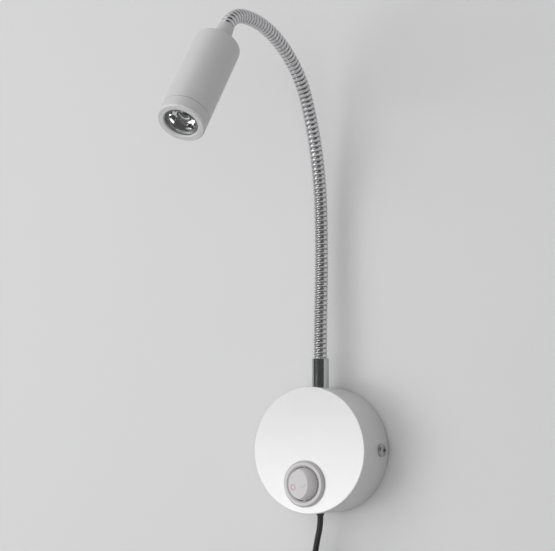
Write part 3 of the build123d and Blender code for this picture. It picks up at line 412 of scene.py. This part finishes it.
def on_tie(place):
    """Point (x, y) and outward direction at a length along the strip's closed middle line."""
    straight_x, straight_y = 2 * (TIE_HALF[0] - TIE_CORNER_R), 2 * (TIE_HALF[1] - TIE_CORNER_R)
    arc = math.pi * TIE_CORNER_R / 2
    place %= 2 * (straight_x + straight_y) + 4 * arc
    heading = 0.0
    position = Vector((-straight_x / 2, -straight_y / 2 - TIE_CORNER_R))
    for run in (straight_x, straight_y, straight_x, straight_y):
        ahead = Vector((math.cos(heading), math.sin(heading)))
        outward = Vector((ahead.y, -ahead.x))
        if place <= run:
            return position + ahead * place, outward
        place -= run
        position += ahead * run
        centre = position - outward * TIE_CORNER_R
        if place <= arc:
            turn = heading + place / TIE_CORNER_R
            outward = Vector((math.sin(turn), -math.cos(turn)))
            return centre + outward * TIE_CORNER_R, outward
        place -= arc
        heading += math.pi / 2
        position = centre + Vector((math.sin(heading), -math.cos(heading))) * TIE_CORNER_R
    return position, outward


def tie_section():
    """Outline (out, across) of the strip's section, a rectangle with rounded edges."""
    quarter = math.radians(90)
    outline = []
    for number, (side_out, side_across) in enumerate(((1, 1), (-1, 1), (-1, -1), (1, -1))):
        for step in range(TIE_EDGE_STEPS):
            angle = quarter * (number + step / (TIE_EDGE_STEPS - 1))
            outline.append(
                (
                    side_out * (TIE_T / 2 - TIE_EDGE_R) + TIE_EDGE_R * math.cos(angle),
                    side_across * (TIE_WIDTH / 2 - TIE_EDGE_R) + TIE_EDGE_R * math.sin(angle),
                )
            )
    return outline


def strip_piece(name, slot_name):
    """Hook-and-loop strip, once round the coil's turns and on over its own end."""
    perimeter = 4 * (TIE_HALF[0] + TIE_HALF[1] - 2 * TIE_CORNER_R) + 2 * math.pi * TIE_CORNER_R
    total = perimeter + TIE_OVERLAP
    rows = round(total / TIE_STEP)
    section = tie_section()
    vertices = []
    for row in range(rows + 1):
        place = total * row / rows
        rise = min(1.0, max(0.0, (place - perimeter + TIE_CLIMB) / TIE_CLIMB))
        lift = (TIE_T + TIE_PLAY) * rise * rise * (3 - 2 * rise)
        end = min(place, total - place, TIE_END_LENGTH) / TIE_END_LENGTH
        narrow = TIE_END_WIDTH + (1 - TIE_END_WIDTH) * math.sqrt(1 - (1 - end) ** 2)
        position, outward = on_tie(place + TIE_START)
        ripple = TIE_RIPPLE * math.sin(place * TIE_RIPPLE_RATE)
        for out, across in section:
            flat = position + outward * (out + lift + ripple)
            vertices.append(mm(TIE_MIDDLE[0] + flat.x, TIE_MIDDLE[1] + flat.y, TIE_MIDDLE[2] + across * narrow))
    count = len(section)
    faces = [tuple(range(count)), tuple(rows * count + i for i in reversed(range(count)))]
    for low in range(0, rows * count, count):
        for i in range(count):
            j = (i + 1) % count
            faces.append((low + j, low + i, low + count + i, low + count + j))
    return new_mesh(name, vertices, faces, slot_name)


tie_strip = strip_piece("tie_strip", "tie_fabric")
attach(tie_strip, "base")
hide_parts("cord_tie")

# ==== Ribbed sleeve on the plug's strain relief ====

PLUG_TOP = (COIL_END[0], COIL_END[1], COIL_END[2] - COIL_TAIL_DROPS[-1])
RELIEF_LENGTH = 20.0
RELIEF_R = (2.9, 4.5)  # at the relief's two ends
RELIEF_TOP_INSET = 0.6
RELIEF_TOP_LIP = (-0.4, 0.1)  # from the relief's side to the sleeve's inside and outside
RELIEF_BOTTOM_INSET = 1.4
RELIEF_BOTTOM_LIP = (0.06, -0.7)
RIBS_START = 1.2
RIBS_LENGTH = 17.0
RELIEF_RIBS = 6
# Each rib's profile: shares of the ribs' pitch, and heights over the relief's side.
RELIEF_RIB = ((0.0, 0.06), (0.12, 0.40), (0.25, 0.55), (0.5, 0.55), (0.63, 0.40), (0.75, 0.06))
RELIEF_COLUMNS = 40


def relief_piece(name, slot_name):
    """Ribbed sleeve over the plug's tapered strain relief."""
    pitch = RIBS_LENGTH / RELIEF_RIBS
    profile = [(RELIEF_TOP_INSET, RELIEF_R[0] + lip) for lip in RELIEF_TOP_LIP]
    for rib in range(RELIEF_RIBS):
        for share, proud in RELIEF_RIB:
            drop = RIBS_START + (rib + share) * pitch
            side_r = RELIEF_R[0] + (RELIEF_R[1] - RELIEF_R[0]) * drop / RELIEF_LENGTH
            profile.append((drop, side_r + proud))
    profile += [(RELIEF_LENGTH - RELIEF_BOTTOM_INSET, RELIEF_R[1] + lip) for lip in RELIEF_BOTTOM_LIP]
    vertices = []
    for drop, r in profile:
        for column in range(RELIEF_COLUMNS):
            turn = 2 * math.pi * column / RELIEF_COLUMNS
            side_x, side_y = r * math.cos(turn), r * math.sin(turn)
            vertices.append(mm(PLUG_TOP[0] + side_x, PLUG_TOP[1] + side_y, PLUG_TOP[2] - drop))
    faces = []
    rings = len(profile)
    for ring in range(rings):
        low, high = ring * RELIEF_COLUMNS, (ring + 1) % rings * RELIEF_COLUMNS
        for column in range(RELIEF_COLUMNS):
            after = (column + 1) % RELIEF_COLUMNS
            faces.append((low + column, high + column, high + after, low + after))
    return new_mesh(name, vertices, faces, slot_name)


plug_relief = relief_piece("plug_relief", "cord_fittings")
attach(plug_relief, "base")

# ==== Neck ====

NECK_Y = -18.4
COLLAR_TOP = 59.0
NECK_STRETCHES = (  # length from the collar's top, and turn in degrees toward the front
    (38.8, -2.8),
    (58.1, 6.0),
    (73.5, 25.0),
    (22.9, 23.3),
    (67.2, 48.2),
    (22.7, 46.6),
    (16.5, 0.0),
)
RIB_PITCH = 3.1
HOSE_START = -8.7
HOSE_END = 294.0
FIRST_JOINT = 37.2
JOINT_STEP = 21.7
JOINTS = 11
CREST_R = 4.4
GROOVE_DEPTH = 0.62
GROOVE_SHARPNESS = 3.2
HOSE_BORE_R = 2.45
HOSE_COLUMNS = 48
ROWS_PER_RIB = 14
BORE_ROW = 1.6
BEND_HALF = 9.6  # to each side of a joint; the neck's place this far off is computed and not used


def neck_place(place):
    """The neck's centre at a length from the collar's top, and its direction from front to back there."""
    y, z, heading = NECK_Y, COLLAR_TOP + min(place, 0), 0.0
    left = max(place, 0)
    for length, turn in (*NECK_STRETCHES, (math.inf, 0.0)):
        run = min(left, length)
        half_turn = math.radians(turn) * run / length / 2
        chord = run * math.sin(half_turn) / half_turn if half_turn else run
        y -= chord * math.sin(heading + half_turn)
        z += chord * math.cos(heading + half_turn)
        heading += 2 * half_turn
        left -= run
    return mm(0, y, z), Vector((0, -math.sin(heading), math.cos(heading))).cross(X)


def rib_depth(phase):
    """0 on a rib's broad crest and 1 in the narrow groove beside it."""
    return abs(2 * (phase % 1.0) - 1) ** GROOVE_SHARPNESS


def hose_piece(name, start, stop):
    """A length of the helical hose, with its bore, closed at both ends."""
    rows = max(2, round((stop - start) / RIB_PITCH * ROWS_PER_RIB) + 1)
    bore_rows = max(2, round((stop - start) / BORE_ROW) + 1)
    turns = [2 * math.pi * column / HOSE_COLUMNS for column in range(HOSE_COLUMNS)]
    vertices, depths = [], []
    for row in range(rows):
        place = start + (stop - start) * row / (rows - 1)
        centre, back = neck_place(place)
        for turn in turns:
            depth = rib_depth(place / RIB_PITCH - turn / (2 * math.pi))
            reach = (CREST_R - GROOVE_DEPTH * depth) * MM
            vertices.append(centre + (X * math.cos(turn) + back * math.sin(turn)) * reach)
            depths.append(depth)
    # The bore gets the full groove depth, so it takes the full painted shade.
    for row in range(bore_rows):
        centre, back = neck_place(start + (stop - start) * row / (bore_rows - 1))
        for turn in turns:
            vertices.append(centre + (X * math.cos(turn) + back * math.sin(turn)) * HOSE_BORE_R * MM)
            depths.append(1.0)
    faces = []

    def ring_pair(low, high):
        for column in range(HOSE_COLUMNS):
            after = (column + 1) % HOSE_COLUMNS
            faces.append((low + column, low + after, high + after, high + column))

    first_bore = rows * HOSE_COLUMNS
    for row in range(rows - 1):
        ring_pair(row * HOSE_COLUMNS, (row + 1) * HOSE_COLUMNS)
    for row in range(bore_rows - 1):
        ring_pair(first_bore + (row + 1) * HOSE_COLUMNS, first_bore + row * HOSE_COLUMNS)
    ring_pair(first_bore, 0)
    ring_pair((rows - 1) * HOSE_COLUMNS, first_bore + (bore_rows - 1) * HOSE_COLUMNS)
    piece = new_mesh(name, vertices, faces, "hose_steel")
    # Groove depth at each point, which the hose's finish turns into painted shade.
    groove_shade = piece.data.attributes.new("groove_shade", "FLOAT", "POINT")
    groove_shade.data.foreach_set("value", depths)
    return piece


joints = [FIRST_JOINT + JOINT_STEP * number for number in range(JOINTS)]
foot = hose_piece("hose_foot", HOSE_START, joints[0] - JOINT_STEP / 2)
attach(foot, "base")
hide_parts("hose_section_01")
for number, joint in enumerate(joints, start=1):
    bend = hose_piece(f"hose_bend_{number:02d}", joint - JOINT_STEP / 2, joint + JOINT_STEP / 2)
    neck_place(joint - BEND_HALF)[0]
    neck_place(joint + BEND_HALF)[0]
    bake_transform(bend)
    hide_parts(f"hose_section_{number + 1:02d}")
tip = hose_piece("hose_tip", joints[-1] + JOINT_STEP / 2, HOSE_END)
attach(tip, "head")
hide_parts("hose_section_12")

# ==== Rocker's marks ====

ROCKER_TILT = math.radians(16)
PADDLE_ANGLE = math.radians(5)
ROCKER_PIVOT = mm(-2.4, -34.4, -21.2)
ROCKER_CROWN = 5.4
ROCKER_ALONG = Vector((math.cos(ROCKER_TILT), -math.sin(ROCKER_TILT), 0))
ROCKER_OUT = Vector((-math.sin(ROCKER_TILT), -math.cos(ROCKER_TILT), 0))
LEFT, RIGHT = -1, 1
MARK_LIFTS = (-0.02, 0.06)  # of a mark's back and front over the paddle
O_CENTRE = (4.7, -2.05)
O_RADII = (2.0, 1.3)
O_STEPS = 40
BAR_ENDS = ((1.5, -2.35), (7.7, 0.07))
BAR_WIDTH = 0.6
BAR_SLIT = (0.02, 0.48)  # half width and inset of the slit in the bar's middle, in shares of its width


def circle(centre, r):
    """Points on a circle."""
    turns = [2 * math.pi * i / O_STEPS for i in range(O_STEPS)]
    return [(centre[0] + r * math.cos(turn), centre[1] + r * math.sin(turn)) for turn in turns]


def slab(ends, half_width, inset):
    """Corners of a straight bar with square ends, each end drawn in by the inset."""
    start, stop = Vector(ends[0]), Vector(ends[1])
    run = (stop - start).normalized()
    across = Vector((-run.y, run.x)) * half_width
    first, last = start + run * inset, stop - run * inset
    return [tuple(corner) for corner in (first - across, last - across, last + across, first + across)]


def mark(name, side, outlines, finish_name):
    """Thin raised mark on a paddle, between two closed outlines of (outward from the crease, up) points."""
    origin = ROCKER_PIVOT + ROCKER_OUT * ROCKER_CROWN * MM
    away = ROCKER_ALONG * side * math.cos(PADDLE_ANGLE) + ROCKER_OUT * math.sin(PADDLE_ANGLE)
    normal = ROCKER_OUT * math.cos(PADDLE_ANGLE) - ROCKER_ALONG * side * math.sin(PADDLE_ANGLE)
    vertices = []
    for lift in MARK_LIFTS:
        for outline in outlines:
            vertices += [origin + away * a * MM + Z * b * MM + normal * lift * MM for a, b in outline]
    count = len(outlines[0])
    faces = []
    for i in range(count):
        j = (i + 1) % count
        faces.append((2 * count + i, 2 * count + j, 3 * count + j, 3 * count + i))
        faces.append((j, i, count + i, count + j))
        faces.append((i, j, 2 * count + j, 2 * count + i))
        faces.append((count + j, count + i, 3 * count + i, 3 * count + j))
    piece = new_mesh(name, vertices, faces, "rocker_plastic", finish_name, smooth=False)
    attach(piece, "rocker")


mark("mark_o", LEFT, [circle(O_CENTRE, r) for r in O_RADII], "mark_red")
mark(
    "mark_bar",
    RIGHT,
    [slab(BAR_ENDS, BAR_WIDTH / 2, 0), slab(BAR_ENDS, *[BAR_WIDTH * share for share in BAR_SLIT])],
    "mark_grey",
)

# ==== Wall and floor ====

FLOOR_Z = -0.34
WALL_Y = -0.0003
SHEET_X = 3
SHEET_TOP_Z = 3
FLOOR_FRONT_Y = -4
WALL_TONE = (0.66, 0.66, 0.665)
WALL_FADE = (1.3, 2.7)  # distances from the lamp at which the sheet begins to fade and is gone
FLOOR_TONE = (0.76, 0.76, 0.76)
FLOOR_FADE = (0.6, 1.5)
FLOOR_BOUNCE = 0.6  # share of the floor's tone that it throws on the lamp


def flat_sheet(name, corners, material):
    """One flat face."""
    data = bpy.data.meshes.new(name)
    data.from_pydata(corners, [], [tuple(range(len(corners)))])
    data.materials.append(material)
    sheet = bpy.data.objects.new(name, data)
    scene.collection.objects.link(sheet)
    return sheet


def backdrop(name, corners, tone, fade, bounce=1.0):
    """Plain sheet that is seen only from its front, lets light through from behind and fades far out."""
    material, tree = new_material(name)
    diffuse = tree.add("ShaderNodeBsdfDiffuse")
    bounced = [channel * bounce for channel in tone]
    tree.link(tree.mix_colours(tree.shown_ray(), bounced, tone), diffuse.inputs["Color"])
    distance = tree.add("ShaderNodeVectorMath", operation="LENGTH")
    tree.link(tree.add("ShaderNodeTexCoord").outputs["Object"], distance.inputs[0])
    faded = tree.add(
        "ShaderNodeMapRange", interpolation_type="SMOOTHSTEP", From_Min=fade[0], From_Max=fade[1]
    )
    tree.link(distance.outputs["Value"], faded.inputs["Value"])
    clear = tree.greatest(
        tree.add("ShaderNodeNewGeometry").outputs["Backfacing"],
        tree.add("ShaderNodeLightPath").outputs["Is Shadow Ray"],
        faded.outputs["Result"],
    )
    see_through = tree.add("ShaderNodeBsdfTransparent")
    tree.show(tree.mix_shaders(clear, diffuse.outputs[0], see_through.outputs[0]))
    flat_sheet(name, corners, material)


WALL_FOOT = [(SHEET_X, WALL_Y, FLOOR_Z), (-SHEET_X, WALL_Y, FLOOR_Z)]
WALL_TOP = [(-SHEET_X, WALL_Y, SHEET_TOP_Z), (SHEET_X, WALL_Y, SHEET_TOP_Z)]
FLOOR_FRONT = [(-SHEET_X, FLOOR_FRONT_Y, FLOOR_Z), (SHEET_X, FLOOR_FRONT_Y, FLOOR_Z)]
backdrop("wall", [*WALL_FOOT[::-1], *WALL_TOP[::-1]], WALL_TONE, WALL_FADE)
backdrop("floor", [*FLOOR_FRONT, *WALL_FOOT], FLOOR_TONE, FLOOR_FADE, FLOOR_BOUNCE)

# ==== Lights ====

# Name, place, point that it faces, width and height, watts, and whether metal mirrors it.
LAMPS = (
    ("key", (-0.72, -1.50, 0.0), (0, 0, 0.0), (1.8, 1.4), 13.5, False),
    ("right_fill", (0.50, -1.35, -0.05), (0, 0, 0.08), (0.9, 0.9), 4.2, False),
    ("left_fill", (-1.60, -1.20, 0.25), (0, -0.05, 0.08), (1.0, 1.3), 3, False),
    ("high_left", (-0.55, -1.10, 1.20), (0, 0, 0.10), (1.0, 0.6), 3.5, True),
    ("low_strip", (-0.78, -1.45, -0.17), (0, 0, -0.02), (0.8, 0.26), 2.8, True),
    ("back_fill", (-0.7, 1.8, 0.9), (0, 0, 0.08), (1.2, 1.2), 3, True),
)
for name, place, target, size, watts, mirrored in LAMPS:
    light = bpy.data.lights.new(name, "AREA")
    light.shape = "RECTANGLE"
    light.size, light.size_y = size
    light.energy = watts
    lamp = bpy.data.objects.new(name, light)
    scene.collection.objects.link(lamp)
    lamp.location = place
    lamp.visible_glossy = mirrored
    lamp.rotation_euler = (Vector(target) - Vector(place)).to_track_quat("-Z", "Y").to_euler()

CARD_Y = -2.0
CARD_OUTLINE = ((-9, -0.33), (9, -0.33), (9, 9), (1, 9), (0.3, 1.6), (-9, 1.2))
CARD_STRENGTH = 0.08


def dark_card(name):
    """The dark room in front of the wall, which shows only in polished metal."""
    material, tree = new_material(name)
    tree.show(tree.add("ShaderNodeEmission", Strength=CARD_STRENGTH).outputs[0])
    card = flat_sheet(name, [(x, CARD_Y, z) for x, z in CARD_OUTLINE], material)
    card.visible_camera = card.visible_diffuse = card.visible_shadow = card.visible_transmission = False


dark_card("dark_card")

AMBIENT_STRENGTH = 0.30
WORLD_TONE = (0.72, 0.72, 0.73)


def studio_world(name):
    """Weak even light, and a plain pale tone where the world shows."""
    world = bpy.data.worlds.new(name)
    world.use_nodes = True
    tree = Nodes(world.node_tree)
    ambient = tree.add("ShaderNodeBackground", Strength=AMBIENT_STRENGTH)
    plain = tree.add("ShaderNodeBackground", Color=(*WORLD_TONE, 1))
    tree.show(tree.mix_shaders(tree.shown_ray(), ambient.outputs[0], plain.outputs[0]), "World")
    scene.world = world


studio_world("studio")
